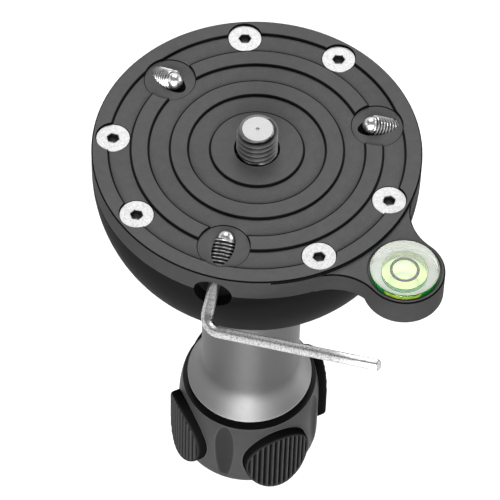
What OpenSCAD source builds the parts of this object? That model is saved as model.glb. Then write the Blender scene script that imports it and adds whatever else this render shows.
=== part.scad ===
// Half-ball leveling base. Millimetres, +Z up, origin at the centre of the plate's top face.
// +X points from the plate's centre to the ear that carries the level.

/* [Top plate] */
// Diameter of the ball and of the plate on it, for a 75 mm bowl
ball_d = 76; // [75:0.5:84]
// Thickness of the plate
plate_t = 6.5; // [6.5:0.25:8]
// Depth of the ring channels in its top face
channel_t = 0.6; // [0.3:0.1:0.8]
// Chamfer on its edges
edge_c = 0.3; // [0.1:0.05:0.4]

/* [Half ball] */
// Height of the ball below the plate
ball_h = 24; // [22:0.5:26]
// Width of the solid rim under the plate
ball_rim_w = 8.5; // [7.5:0.5:10]
// Wall of the ball below its rim
ball_wall = 6; // [4:0.5:8]
// Thickness of the ball's floor
ball_floor_t = 6; // [4:0.5:7]
// Diameter of the hub that holds the tie rod
hub_d = 22; // [19:0.5:26]
// Height of the hub above the floor
hub_h = 6.5; // [4:0.5:7]

/* [Head stud] */
// Outside diameter of the 3/8 inch thread
stud_d = 9.525; // [9:0.025:10]
// Pitch of the thread, 16 to the inch
stud_pitch = 1.5875; // [1.4:0.0125:1.7]
// Height of the stud above the plate
stud_h = 7.2; // [6:0.2:12]
// Chamfer at the mouth of the stud's hole
stud_mouth_c = 0.4; // [0.2:0.05:0.8]
// Diameter of the stud's top face
stud_top_d = 7; // [6:0.25:8]
// Diameter of the plain shank inside the plate
stud_shank_d = 8.9; // [8.4:0.1:9]
// Width across flats of the stud's hidden head
stud_head_af = 14; // [12:0.5:16]
// Height of that head
stud_head_t = 4.4; // [3:0.2:5]
// Depth of its seat in the plate's underside
stud_seat_t = 2.5; // [1.5:0.25:3]

/* [Plate screws] */
// Thread diameter of the countersunk screws
plate_screw_d = 4; // [3:0.25:4.5]
// Length of the countersunk screws
plate_screw_l = 12; // [9:0.5:16]
// Diameter of their heads
plate_screw_head_d = 7.8; // [7:0.1:8.2]
// Height of the heads
plate_screw_head_t = 2.3; // [1.8:0.1:2.8]
// Distance of their axes from the plate's edge
plate_screw_inset = 4.8; // [4.6:0.1:5.2]
// Angle between the two screws of a pair
plate_screw_pair = 40; // [34:1:50]
// Width across flats of their sockets
plate_screw_socket_af = 2.5; // [2:0.25:3]
// Depth of their sockets
plate_screw_socket_t = 1.5; // [1:0.1:2]

/* [Set screws] */
// Thread diameter of the inclined set screws
set_screw_d = 5; // [4.5:0.1:5.5]
// Pitch of their thread
set_screw_pitch = 0.8; // [0.7:0.05:0.85]
// Length from the rounded point to the socket end
set_screw_l = 10; // [9:0.25:10.5]
// Length that stands out of the plate along the screw
set_screw_reach_l = 3.7; // [3:0.1:4.5]
// Diameter of the rounded point
set_screw_point_d = 3.9; // [3.2:0.1:4]
// Slope of the screws below the plate's face
set_screw_tilt = 30.5; // [28:0.5:34]
// Distance from the plate's edge to where they leave the plate
set_screw_inset = 9.3; // [9:0.1:9.8]
// Diameter of the sunk flat round each screw
spotface_d = 12; // [10:0.5:12.5]
// Depth of that flat below the plate's face
spotface_t = 0.75; // [0.6:0.05:0.9]
// Width across flats of the socket
socket_af = 2.6; // [2.6:0.05:2.8]
// Depth of the socket
socket_t = 2.8; // [2.6:0.1:3.5]
// Diameter of the key access holes at the rim
access_d = 9; // [8:0.25:9.5]
// Depth of the key access holes from the rim
access_t = 3.2; // [2.5:0.1:3.6]

/* [Hexagon key] */
// Width across flats of the key
key_af = 2.5; // [2:0.05:2.5]
// Length of the short arm to the corner
key_short_l = 15.4; // [14:0.2:22]
// Length of the long arm from the corner
key_long_l = 45.2; // [30:0.2:60]
// Radius of the bend at the middle of the bar
key_bend_r = 4; // [2.5:0.25:5]
// How far the key is pushed into the screw
key_grip_l = 2.5; // [1.5:0.1:2.5]
// Turn of the long arm above the plate's tangent
key_turn = 21.5; // [0:0.5:45]

/* [Ear and level] */
// Distance from the plate's edge to the level's axis
ear_out = 9; // [8.8:0.2:18]
// Diameter of the ear's boss
ear_d = 18.4; // [18:0.2:22]
// Radius of the hollow fillets beside the ear
ear_fillet_r = 11.5; // [9:0.5:14]
// Step from the plate's top down to the ear
ear_step = 1; // [0.5:0.1:1.5]
// How far the boss hangs below the plate
ear_drop = 2.2; // [1.5:0.1:4]
// Diameter of the level
level_d = 15.7; // [14:0.1:15.9]
// Height of the level's clear body
level_h = 6; // [5.4:0.1:6.4]
// How far the level stands out of the ear
level_proud = 0.9; // [0.4:0.1:1]
// Width of the black ring round the level
level_seat_w = 0.5; // [0.3:0.05:0.6]
// Diameter of the level's liquid chamber
chamber_d = 10.6; // [9:0.1:12]
// Height of the liquid chamber
chamber_h = 2.8; // [2:0.1:3]
// Clear thickness above the chamber
level_lens_t = 1.4; // [1:0.1:1.6]
// Thickness of the pale disc below the level
backing_t = 0.6; // [0.4:0.1:1]
// Diameter of the target ring
target_d = 6.1; // [5:0.1:7]
// Line width of the target ring
target_w = 0.25; // [0.15:0.05:0.4]
// Diameter of the bubble
bubble_d = 5; // [3:0.1:6]

/* [Tie rod] */
// Thread diameter of the tie rod
rod_d = 10; // [8:0.5:10]
// Width across flats of the lock nut
nut_af = 17; // [15:0.5:18]
// Height of the lock nut
nut_t = 5; // [4:0.25:5.5]
// Diameter of the washer under the nut
rod_washer_d = 20; // [18:0.5:22]
// Thickness of that washer
rod_washer_t = 2; // [1:0.25:2.5]
// Rod length that stands above the nut
rod_over = 1; // [0.5:0.25:1.5]

/* [Clamp] */
// Diameter of the clamp cup
cup_d = 52; // [44:1:56]
// Height of the cup's straight rim
cup_rim_h = 3; // [2:0.25:4]
// Height of the whole cup
cup_h = 10.6; // [9.5:0.2:12]
// Depth of the dish in the cup's top
cup_dish_t = 2; // [1:0.25:2.5]
// Width of the cup's rim
cup_rim_w = 4; // [3:0.5:6]
// Diameter of the cup's foot
cup_foot_d = 28; // [26:0.5:34]
// Gap between the ball and the tightened cup
cup_gap = 0.4; // [0.3:0.1:1]
// Thickness of the thrust washer
thrust_t = 1.5; // [1:0.25:2.5]
// Width of the thrust washer outside the bush
thrust_w = 3.7; // [2:0.1:3.9]
// Diameter of the bush where the cup turns on it
spigot_d = 16; // [14.5:0.5:16.5]
// Thickness of the snap ring
snap_t = 1.2; // [0.8:0.1:1.6]
// How far the snap ring stands out of the bush
snap_w = 1.7; // [1.3:0.1:2]
// Depth of the snap ring's groove
snap_groove_t = 0.8; // [0.5:0.1:1]

/* [Column] */
// Diameter of the column
column_d = 24; // [22.6:0.2:26]
// Length of the column from its top to the foot of its flare
column_l = 47; // [42:1:70]
// Diameter of the flare at the column's foot
flare_d = 30.8; // [29.5:0.2:31.4]
// Height of the flare
flare_h = 9; // [7:0.5:12]
// Height of the straight edge below the flare
flare_edge_h = 0.5; // [0.3:0.1:1]
// Height of the neck between flare and knob
neck_h = 1.7; // [0.8:0.1:2.5]
// How far the neck stands out over the plug below it
neck_lip_w = 0.5; // [0.3:0.1:1]
// Diameter of the bush pressed into the column
bush_d = 18; // [17:0.25:19]
// Length of the bush inside the column
bush_l = 17; // [14:0.5:18]
// Length of the plug that enters the knob
plug_l = 8; // [6:0.5:9]

/* [Knob] */
// Diameter of the knob
knob_d = 35; // [34.6:0.2:36]
// Height of the knob
knob_h = 23.5; // [23:0.5:30]
// Width of the curved shoulder under its top edge
shoulder_w = 0.9; // [0.5:0.1:1.2]
// Height of that shoulder
shoulder_h = 8; // [6:0.5:9]
// Radius of its lower edge
knob_edge_r = 3; // [2:0.25:3]
// Number of grip pads
pad_count = 4; // [3:1:4]
// Bearing of the first grip pad
pad_bearing = -20.5; // [-60:0.5:60]
// Width of a grip pad
pad_w = 17.2; // [12:0.2:17.6]
// Height of a grip pad
pad_h = 21.2; // [14:0.2:21.2]
// Height of the pads' middle above the knob's underside
pad_rise = 11; // [10.8:0.1:11.4]
// How far the grip pads stand out of the knob
pad_proud = 2.2; // [1.6:0.1:3]
// Depth of a grip pad below the knob's surface
pad_seat_t = 1.8; // [1.7:0.05:2]
// Width of the plain border round the ribs
pad_border = 0.6; // [0.4:0.1:1.5]
// Number of grooves between the ribs of a pad
rib_groove_count = 11; // [4:1:11]
// Width of a rib groove
rib_groove_d = 0.7; // [0.4:0.05:0.8]
// Width of the shallow oval scoops between the pads
scoop_w = 5.1; // [3:0.1:6]
// Length of the oval that the scoops are cut from
scoop_h = 30.6; // [24:0.2:32]
// Depth of the scoops
scoop_t = 1; // [0.5:0.05:1.1]
// Lean of the scoops towards the knob's axis
scoop_lean = 2; // [0:0.25:3]
// Height of the scoops' middle above the knob's underside
scoop_rise = 12.9; // [12:0.1:13.5]
// Wall of the knob round the column's plug
knob_wall = 4.5; // [4:0.25:6]
// Width of the knob's rim round the end cap
cap_rim_w = 5; // [4:0.25:6]
// Thickness of the end cap
cap_t = 2; // [1.5:0.1:2.5]
// Number of screws that hold the knob
knob_screw_count = 3; // [2:1:4]
// Length of those screws below the head
knob_screw_l = 9; // [8:0.5:10]
// Their thread diameter
knob_screw_d = 4; // [3:0.25:4.5]
// Diameter of their heads
knob_screw_head_d = 7; // [6:0.1:7.4]
// Height of their heads
knob_screw_head_t = 4; // [3:0.25:5]
// Width across flats of their sockets
knob_screw_socket_af = 3; // [2.5:0.25:3.5]
// Thickness of the knob's web between heads and column
knob_web_t = 4; // [3:0.25:5]

/* [Hidden] */

// Smoothness of round faces
$fn = 96;
// Clearance of parts that slide or turn on each other
run_c = 0.05;
// Clearance of parts that are screwed or pressed together
fit_c = 0.02;
// Clearance of through holes round their screws
free_c = 0.15;
// Gap that keeps small moving faces apart
part_gap = 0.1;
// Overrun of cuts past a face
over = 1;

ball_r = ball_d / 2;
ring_shares = [0.284, 0.416, 0.526, 0.655, 0.763, 0.897];
ring_r = [for (share = ring_shares) share * ball_r];

// Heights of the main faces
seam_z = -plate_t;
ball_low_z = seam_z - ball_h;
floor_z = ball_low_z + ball_floor_t;
hub_top_z = floor_z + hub_h;
nut_z = hub_top_z + rod_washer_t;
rod_top_z = nut_z + nut_t + rod_over;
cup_top_z = ball_low_z - cup_gap;
cup_low_z = cup_top_z - cup_h;
column_top_z = cup_low_z - thrust_t;
bush_low_z = column_top_z - bush_l;
knob_top_z = column_top_z - column_l - neck_h;
knob_low_z = knob_top_z - knob_h;

// Places round the plate
pair_bearings = [0, 120, 240];
front_bearing = -60;
right_bearing = 60;
left_bearing = 180;
screw_bearings = [front_bearing, right_bearing, left_bearing];

// A screw thread as rings: crest, flank, root, flank
crest_share = 0.125;
flank_share = 0.3125;
depth_share = 0.54;
function thread_outline(r, pitch, turns) = [
    for (i = [0 : turns - 1]) each [
        [r, i * pitch],
        [r, (i + crest_share) * pitch],
        [r - depth_share * pitch, (i + crest_share + flank_share) * pitch],
        [r - depth_share * pitch, (i + 1 - flank_share) * pitch]],
    [r, turns * pitch]];

module ring(outer_d, inner_d, h) {
    difference() {
        cylinder(d = outer_d, h = h);
        translate([0, 0, -over]) cylinder(d = inner_d, h = h + 2 * over);
    }
}

module hex_prism(af, h) {
    cylinder(d = af / cos(30), h = h, $fn = 6);
}

// Top plate
ear_reach = ball_r + ear_out;
ear_top_z = -ear_step;
level_z = ear_top_z + level_proud;
level_floor_z = level_z - level_h - backing_t;
level_bore_d = level_d + 2 * level_seat_w;
ear_low_z = seam_z - ear_drop;
fillet_plate = ball_r + ear_fillet_r;
fillet_boss = ear_d / 2 + ear_fillet_r;
fillet_x = (fillet_plate * fillet_plate - fillet_boss * fillet_boss + ear_reach * ear_reach)
    / (2 * ear_reach);
fillet_y = sqrt(fillet_plate * fillet_plate - fillet_x * fillet_x);

module plate_disc() {
    rotate_extrude() polygon([
        [0, seam_z],
        [ball_r - edge_c, seam_z],
        [ball_r, seam_z + edge_c],
        [ball_r, -edge_c],
        [ball_r - edge_c, 0],
        [0, 0]]);
}

module ear_web() {
    web_t = plate_t - ear_step;
    translate([0, 0, seam_z]) difference() {
        linear_extrude(web_t) polygon([
            [0, 0],
            [fillet_x, -fillet_y],
            [ear_reach, 0],
            [fillet_x, fillet_y]]);
        for (side = [-1, 1])
            translate([fillet_x, side * fillet_y, 0]) {
                translate([0, 0, -over]) cylinder(r = ear_fillet_r, h = web_t + 2 * over);
                translate([0, 0, web_t - edge_c])
                    cylinder(r1 = ear_fillet_r, r2 = ear_fillet_r + edge_c + over, h = edge_c + over);
            }
    }
}

module ear_boss() {
    translate([ear_reach, 0, 0]) rotate_extrude() polygon([
        [0, ear_low_z],
        [ear_d / 2 - edge_c, ear_low_z],
        [ear_d / 2, ear_low_z + edge_c],
        [ear_d / 2, ear_top_z - edge_c],
        [ear_d / 2 - edge_c, ear_top_z],
        [0, ear_top_z]]);
}

// Puts a piece on the axis of a set screw, with +Z out towards the rim
module on_set_screw(bearing) {
    rotate([0, 0, bearing])
        translate([ball_r - set_screw_inset, 0, -channel_t])
        rotate([0, 90 + set_screw_tilt, 0])
        children();
}

module set_screw_hole(d) {
    on_set_screw(0) translate([0, 0, -set_screw_l]) cylinder(d = d, h = 2.5 * set_screw_l);
}

module access_hole() {
    translate([ball_r - access_t, 0, seam_z])
        rotate([0, 90, 0])
        cylinder(d = access_d, h = access_t + over);
}

module place_plate_screws() {
    for (bearing = pair_bearings, side = [-1, 1])
        rotate([0, 0, bearing + side * plate_screw_pair / 2])
        translate([ball_r - plate_screw_inset, 0, -channel_t])
        children();
}

// Countersunk hole: sunk wall, cone, through hole
module plate_screw_hole() {
    translate([0, 0, -plate_t]) cylinder(d = plate_screw_d + 2 * free_c, h = plate_t + over);
    cylinder(d = plate_screw_head_d + 2 * free_c, h = channel_t + over);
    translate([0, 0, -plate_screw_head_t])
        cylinder(
            d1 = plate_screw_d + 2 * free_c,
            d2 = plate_screw_head_d + 2 * free_c,
            h = plate_screw_head_t);
}

module top_plate() {
    mouth_d = stud_d + 2 * free_c;
    color("#2b2c2e") difference() {
        union() {
            plate_disc();
            ear_web();
            ear_boss();
        }
        for (i = [0 : 2 : len(ring_r) - 1])
            translate([0, 0, -channel_t]) ring(2 * ring_r[i + 1], 2 * ring_r[i], channel_t + over);
        for (bearing = screw_bearings) {
            rotate([0, 0, bearing]) {
                translate([ball_r - set_screw_inset, 0, -spotface_t])
                    cylinder(d = spotface_d, h = spotface_t + over);
                set_screw_hole(set_screw_d);
                access_hole();
            }
        }
        place_plate_screws() plate_screw_hole();
        translate([0, 0, seam_z - over]) cylinder(d = mouth_d, h = plate_t + 2 * over);
        translate([0, 0, -stud_mouth_c])
            cylinder(d1 = mouth_d, d2 = mouth_d + 2 * (stud_mouth_c + over), h = stud_mouth_c + over);
        translate([0, 0, seam_z - over])
            cylinder(d = stud_head_af / cos(30) + 2 * free_c, h = stud_seat_t + over);
        translate([ear_reach, 0, level_floor_z]) cylinder(d = level_bore_d, h = -level_floor_z);
    }
}

// Half ball
module half_ball() {
    inner_d = ball_d - 2 * ball_rim_w;
    color("#2a2a2b") difference() {
        union() {
            difference() {
                intersection() {
                    translate([0, 0, seam_z]) sphere(r = ball_r);
                    translate([0, 0, ball_low_z]) cylinder(r = ball_r + over, h = ball_h);
                }
                intersection() {
                    translate([0, 0, seam_z]) sphere(r = ball_r - ball_wall);
                    translate([0, 0, floor_z]) cylinder(d = inner_d, h = ball_h);
                }
            }
            translate([0, 0, floor_z - ball_floor_t / 2]) cylinder(d = hub_d, h = hub_h + ball_floor_t / 2);
        }
        translate([0, 0, ball_low_z - over]) cylinder(d = rod_d + 2 * fit_c, h = ball_h);
        place_plate_screws()
            translate([0, 0, -plate_screw_l - over])
            cylinder(d = plate_screw_d + 2 * fit_c, h = plate_screw_l + over);
        for (bearing = screw_bearings) {
            rotate([0, 0, bearing]) {
                set_screw_hole(set_screw_d + 2 * free_c);
                access_hole();
            }
        }
    }
}

// Head stud
stud_bevel_h = (stud_d - stud_top_d) / 2 * tan(30);
stud_turns = floor((stud_h - stud_bevel_h) / stud_pitch);

module head_stud() {
    thread_h = stud_turns * stud_pitch;
    head_low_z = seam_z + stud_seat_t - stud_head_t;
    color("#c9c9c7") {
        rotate_extrude() polygon([
            [0, head_low_z + stud_head_t],
            [stud_shank_d / 2, head_low_z + stud_head_t],
            [stud_shank_d / 2, 0],
            each thread_outline(stud_d / 2, stud_pitch, stud_turns),
            [stud_d / 2, max(thread_h, stud_h - stud_bevel_h)],
            [stud_top_d / 2, stud_h],
            [0, stud_h]]);
        translate([0, 0, head_low_z]) hex_prism(stud_head_af, stud_head_t);
    }
}

// Plate screws
module plate_screw() {
    difference() {
        union() {
            translate([0, 0, -plate_screw_l]) cylinder(d = plate_screw_d, h = plate_screw_l);
            translate([0, 0, -plate_screw_head_t])
                cylinder(d1 = plate_screw_d, d2 = plate_screw_head_d, h = plate_screw_head_t);
        }
        translate([0, 0, -plate_screw_socket_t])
            hex_prism(plate_screw_socket_af, plate_screw_socket_t + over);
    }
}

module plate_screws() {
    color("#d6d6d4") place_plate_screws() plate_screw();
}

// Set screws
thread_turns = floor((set_screw_l - set_screw_point_d / 2) / set_screw_pitch);

module set_screw(bearing) {
    thread_l = thread_turns * set_screw_pitch;
    crest_r = set_screw_d / 2 - run_c;
    color("#b9b9ba") on_set_screw(bearing) translate([0, 0, -set_screw_reach_l]) difference() {
        union() {
            translate([0, 0, set_screw_point_d / 2]) sphere(d = set_screw_point_d);
            translate([0, 0, set_screw_l - thread_l]) rotate_extrude() polygon([
                [0, 0],
                each thread_outline(crest_r, set_screw_pitch, thread_turns),
                [0, thread_l]]);
        }
        translate([0, 0, set_screw_l - socket_t])
            rotate([0, 0, key_turn])
            hex_prism(socket_af, socket_t + over);
    }
}

// Hexagon key, in the front set screw
module hex_key() {
    tip_z = set_screw_l - set_screw_reach_l - key_grip_l;
    corner_z = tip_z + key_short_l;
    color("#d9d9d8") on_set_screw(front_bearing) rotate([0, 0, key_turn]) {
        translate([0, 0, tip_z]) hex_prism(key_af, key_short_l - key_bend_r);
        translate([0, key_bend_r, corner_z - key_bend_r])
            rotate([0, 0, -90]) rotate([90, 0, 0])
            rotate_extrude(angle = 90) translate([key_bend_r, 0])
            rotate(30) circle(d = key_af / cos(30), $fn = 6);
        translate([0, key_bend_r, corner_z]) rotate([-90, 0, 0])
            hex_prism(key_af, key_long_l - key_bend_r);
    }
}

// Level
chamber_top_z = level_z - level_lens_t;
bubble_t = chamber_h / 4;
bubble_r = (bubble_d * bubble_d / 4 + bubble_t * bubble_t) / (2 * bubble_t);
target_t = level_lens_t / 5;

module level_chamber() {
    translate([ear_reach, 0, chamber_top_z - chamber_h]) cylinder(d = chamber_d, h = chamber_h);
}

module target_ring(clearance) {
    translate([ear_reach, 0, chamber_top_z - fit_c])
        ring(target_d + target_w + 2 * clearance, target_d - target_w - 2 * clearance, target_t + clearance);
}

module level_body() {
    color("#dfe6e2") difference() {
        translate([ear_reach, 0, level_floor_z + backing_t]) cylinder(d = level_d, h = level_h);
        level_chamber();
        target_ring(fit_c);
    }
}

module level_liquid() {
    color("#c8e04a") difference() {
        translate([ear_reach, 0, chamber_top_z - chamber_h])
            cylinder(d = chamber_d - 2 * fit_c, h = chamber_h - fit_c);
        translate([ear_reach, 0, chamber_top_z - bubble_t + bubble_r]) sphere(r = bubble_r);
    }
}

module level_target() {
    color("#101010") translate([0, 0, fit_c]) target_ring(0);
}

module level_backing() {
    color("#eef3d8") translate([ear_reach, 0, level_floor_z]) cylinder(d = level_d, h = backing_t);
}

module level_seat() {
    color("#0d0d0d") translate([ear_reach, 0, level_floor_z])
        ring(level_bore_d - 2 * fit_c, level_d + 2 * fit_c, ear_top_z - level_floor_z - edge_c);
}

// Tie rod with its lock nut
module tie_rod() {
    chamfer = rod_d / 10;
    color("#8e8f91") rotate_extrude() polygon([
        [0, bush_low_z],
        [rod_d / 2 - chamfer, bush_low_z],
        [rod_d / 2, bush_low_z + chamfer],
        [rod_d / 2, rod_top_z - chamfer],
        [rod_d / 2 - chamfer, rod_top_z],
        [0, rod_top_z]]);
}

module rod_washer() {
    color("#a5a6a8") translate([0, 0, hub_top_z]) ring(rod_washer_d, rod_d + 2 * free_c, rod_washer_t);
}

module rod_nut() {
    color("#8a8b8d") difference() {
        translate([0, 0, nut_z]) hex_prism(nut_af, nut_t);
        translate([0, 0, nut_z - over]) cylinder(d = rod_d + 2 * fit_c, h = nut_t + 2 * over);
    }
}

// Clamp under the ball
spigot_wall = (spigot_d - rod_d) / 2;
snap_d = spigot_d + 2 * snap_w;
ring_floor_z = cup_top_z - cup_dish_t - snap_t - cup_dish_t;
spigot_top_z = ring_floor_z + part_gap + snap_t + snap_groove_t;

module clamp_cup() {
    color("#1d1d1e") difference() {
        rotate_extrude() polygon([
            [0, cup_low_z],
            [cup_foot_d / 2, cup_low_z],
            [cup_d / 2, cup_top_z - cup_rim_h],
            [cup_d / 2, cup_top_z - edge_c],
            [cup_d / 2 - edge_c, cup_top_z],
            [0, cup_top_z]]);
        translate([0, 0, cup_top_z - cup_dish_t]) cylinder(d = cup_d - 2 * cup_rim_w, h = cup_dish_t + over);
        translate([0, 0, ring_floor_z]) cylinder(d = snap_d + 2 * cup_dish_t, h = cup_h);
        translate([0, 0, cup_low_z - over]) cylinder(d = spigot_d + 2 * run_c, h = cup_h);
    }
}

module thrust_washer() {
    color("#c2a25a") translate([0, 0, column_top_z])
        ring(spigot_d + 2 * thrust_w, spigot_d + 2 * free_c, thrust_t);
}

module snap_ring() {
    slot_w = snap_groove_t + spigot_wall;
    color("#55565a") difference() {
        translate([0, 0, ring_floor_z + part_gap])
            ring(snap_d, spigot_d - 2 * snap_groove_t + 2 * fit_c, snap_t - 2 * fit_c);
        translate([0, -slot_w / 2, ring_floor_z]) cube([snap_d, slot_w, snap_t + over]);
    }
}

// Bush that screws up the tie rod
module threaded_bush() {
    groove_z = ring_floor_z + part_gap - fit_c;
    color("#b58d3c") difference() {
        union() {
            translate([0, 0, bush_low_z]) cylinder(d = bush_d, h = bush_l);
            translate([0, 0, column_top_z]) cylinder(d = spigot_d, h = spigot_top_z - column_top_z);
        }
        translate([0, 0, groove_z]) ring(spigot_d + over, spigot_d - 2 * snap_groove_t, snap_t);
        translate([0, 0, bush_low_z - over])
            cylinder(d = rod_d + 2 * run_c, h = spigot_top_z - bush_low_z + 2 * over);
    }
}

// Column
bore_low_z = bush_low_z - rod_d / 5;
flare_w = (flare_d - column_d) / 2;
flare_r = (flare_h * flare_h + flare_w * flare_w) / (2 * flare_w);
flare_low_z = knob_top_z + neck_h;
flare_z = flare_low_z + flare_edge_h;
plug_d = knob_d - 2 * knob_wall;
neck_d = plug_d + 2 * neck_lip_w;

module column_flare() {
    rotate_extrude() translate([0, flare_z]) difference() {
        square([flare_d / 2, flare_h]);
        translate([column_d / 2 + flare_r, flare_h]) circle(r = flare_r);
    }
}

module column() {
    color("#a8a9aa") difference() {
        union() {
            translate([0, 0, flare_low_z]) cylinder(d = column_d, h = column_l);
            column_flare();
            translate([0, 0, flare_low_z]) cylinder(d = flare_d, h = flare_edge_h);
            translate([0, 0, knob_top_z]) cylinder(d = neck_d, h = neck_h);
            translate([0, 0, knob_top_z - plug_l]) cylinder(d = plug_d, h = plug_l);
        }
        translate([0, 0, bush_low_z]) cylinder(d = bush_d + 2 * fit_c, h = bush_l + over);
        translate([0, 0, bore_low_z]) cylinder(d = rod_d + 8 * free_c, h = column_top_z - bore_low_z);
        place_knob_screws() cylinder(d = knob_screw_d + 2 * fit_c, h = knob_screw_l);
    }
}

// Knob
knob_screw_z = knob_top_z - plug_l - knob_web_t;
knob_r = knob_d / 2;
cap_d = knob_d - 2 * cap_rim_w;
pad_z = knob_low_z + pad_rise;
pad_step = 360 / pad_count;

module place_knob_screws() {
    for (i = [0 : knob_screw_count - 1])
        rotate([0, 0, i * 360 / knob_screw_count])
        translate([plug_d / 3, 0, knob_screw_z])
        children();
}

// Oval block of a grip pad, out to the given radius
module pad_block(w, h, outer_r) {
    intersection() {
        translate([0, 0, pad_z]) rotate([90, 0, 90])
            linear_extrude(knob_d) polygon([
                for (turn = [0 : 10 : 350]) [w / 2 * cos(turn), h / 2 * sin(turn)]]);
        translate([0, 0, knob_low_z]) cylinder(r = outer_r, h = knob_h);
    }
}

module knob_profile() {
    shoulder_r = (shoulder_h * shoulder_h + shoulder_w * shoulder_w) / (2 * shoulder_w);
    wall_h = knob_h - shoulder_h;
    edge_x = knob_r - knob_edge_r;
    square([edge_x, knob_h]);
    translate([0, knob_edge_r]) square([knob_r, wall_h - knob_edge_r]);
    translate([edge_x, knob_edge_r]) circle(r = knob_edge_r);
    intersection() {
        translate([0, wall_h]) square([knob_r, shoulder_h]);
        translate([knob_r - shoulder_r, wall_h]) circle(r = shoulder_r);
    }
}

// Oval scoop, cut by the outer side of a large ring
module scoop() {
    cut_r = (scoop_h * scoop_h / 4 + scoop_t * scoop_t) / (2 * scoop_t);
    body_sag = knob_r - sqrt(knob_r * knob_r - scoop_w * scoop_w / 4);
    bar_t = scoop_t - body_sag;
    bar_r = (scoop_w * scoop_w / 4 + bar_t * bar_t) / (2 * bar_t);
    translate([knob_r - scoop_t, 0, knob_low_z + scoop_rise]) rotate([0, -scoop_lean, 0])
        translate([cut_r, 0, 0]) rotate([90, 0, 0])
        rotate_extrude() translate([cut_r - bar_r, 0]) circle(r = bar_r);
}

module knob_body() {
    color("#262627") difference() {
        translate([0, 0, knob_low_z]) rotate_extrude() knob_profile();
        translate([0, 0, knob_top_z - plug_l]) cylinder(d = plug_d + 2 * fit_c, h = plug_l + over);
        translate([0, 0, knob_low_z - over]) cylinder(d = cap_d + 2 * fit_c, h = cap_t + over);
        place_knob_screws() {
            cylinder(d = knob_screw_d + 2 * free_c, h = knob_web_t + over);
            translate([0, 0, -knob_h]) cylinder(d = knob_screw_head_d + 2 * free_c, h = knob_h);
        }
        for (i = [0 : pad_count - 1]) {
            rotate([0, 0, pad_bearing + i * pad_step]) difference() {
                pad_block(pad_w + 2 * fit_c, pad_h + 2 * fit_c, knob_d);
                cylinder(r = knob_r - pad_seat_t, h = 2 * abs(knob_low_z), center = true);
            }
            rotate([0, 0, pad_bearing + (i + 0.5) * pad_step]) scoop();
        }
    }
}

module grip_pad(number) {
    face_w = pad_w - 2 * pad_border;
    face_h = pad_h - 2 * pad_border;
    face_r = knob_r + pad_proud;
    groove_step = face_w / (rib_groove_count + 1) / face_r * 180 / PI;
    if (number <= pad_count)
    color("#1f1f20") rotate([0, 0, pad_bearing + (number - 1) * pad_step]) difference() {
        union() {
            pad_block(pad_w, pad_h, face_r - pad_proud / 3);
            pad_block(face_w, face_h, face_r);
        }
        cylinder(r = knob_r - pad_seat_t + fit_c, h = 2 * abs(knob_low_z), center = true);
        for (i = [0 : rib_groove_count - 1])
            rotate([0, 0, (i - (rib_groove_count - 1) / 2) * groove_step])
            translate([face_r, 0, knob_low_z]) cylinder(d = rib_groove_d, h = knob_h);
    }
}

module knob_screws() {
    color("#6d6e70") place_knob_screws() difference() {
        union() {
            cylinder(d = knob_screw_d, h = knob_screw_l);
            translate([0, 0, -knob_screw_head_t]) cylinder(d = knob_screw_head_d, h = knob_screw_head_t);
        }
        translate([0, 0, -knob_screw_head_t - over])
            hex_prism(knob_screw_socket_af, knob_screw_head_t / 2 + over);
    }
}

module end_cap() {
    color("#1b1b1c") translate([0, 0, knob_low_z]) cylinder(d = cap_d, h = cap_t);
}

top_plate();
half_ball();
head_stud();
plate_screws();
set_screw(front_bearing);  // set_screw_front
set_screw(right_bearing);  // set_screw_right
set_screw(left_bearing);  // set_screw_left
hex_key();
level_body();
level_liquid();
level_target();
level_backing();
level_seat();
tie_rod();
rod_washer();
rod_nut();
clamp_cup();
thrust_washer();
snap_ring();
threaded_bush();
column();
knob_body();
grip_pad(1);  // grip_pad_1
grip_pad(2);  // grip_pad_2
grip_pad(3);  // grip_pad_3
grip_pad(4);  // grip_pad_4
knob_screws();
end_cap();
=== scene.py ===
import math

import bmesh
import bpy
from mathutils import Matrix, Vector


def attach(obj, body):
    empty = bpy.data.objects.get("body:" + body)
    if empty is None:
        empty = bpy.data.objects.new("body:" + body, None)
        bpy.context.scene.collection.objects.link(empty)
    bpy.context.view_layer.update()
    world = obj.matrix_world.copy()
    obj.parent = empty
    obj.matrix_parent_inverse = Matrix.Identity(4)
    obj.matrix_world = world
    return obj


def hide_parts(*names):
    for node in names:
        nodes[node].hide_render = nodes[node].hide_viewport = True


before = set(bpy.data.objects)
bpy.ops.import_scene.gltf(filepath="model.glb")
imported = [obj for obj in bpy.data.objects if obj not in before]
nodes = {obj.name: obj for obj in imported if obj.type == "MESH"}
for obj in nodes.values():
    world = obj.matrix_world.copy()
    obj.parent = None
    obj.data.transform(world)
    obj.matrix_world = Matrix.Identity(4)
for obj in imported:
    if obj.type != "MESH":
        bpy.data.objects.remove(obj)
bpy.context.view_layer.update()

scene = bpy.context.scene
mm = 0.001
print("frame loaded:", len(nodes), "nodes")

# sizes that several pieces share, in mm and degrees
part = {
    "ballRadius": 38.0,
    "channelDepth": 0.6,
    "ringRadii": (10.79, 15.81, 19.99, 24.89, 28.99, 34.09),
    "spotRadius": 6.0,
    "spotReach": 28.7,
    "spotBearings": (-60, 60, 180),
    "earReach": 47.0,
    "knobLow": -115.2,
    "knobRadius": 17.5,
}

# camera, measured on the photograph; bearings are counted from it, to the right
camera = {
    "lens": 268.884,
    "sensor": 36,
    "reach": (0.05, 20),
    "turn": 43.71,
    "elevation": 53.643,
    "roll": 1.841,
    "place": (-0.000858, -0.52640, 0.67570),
}


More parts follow.
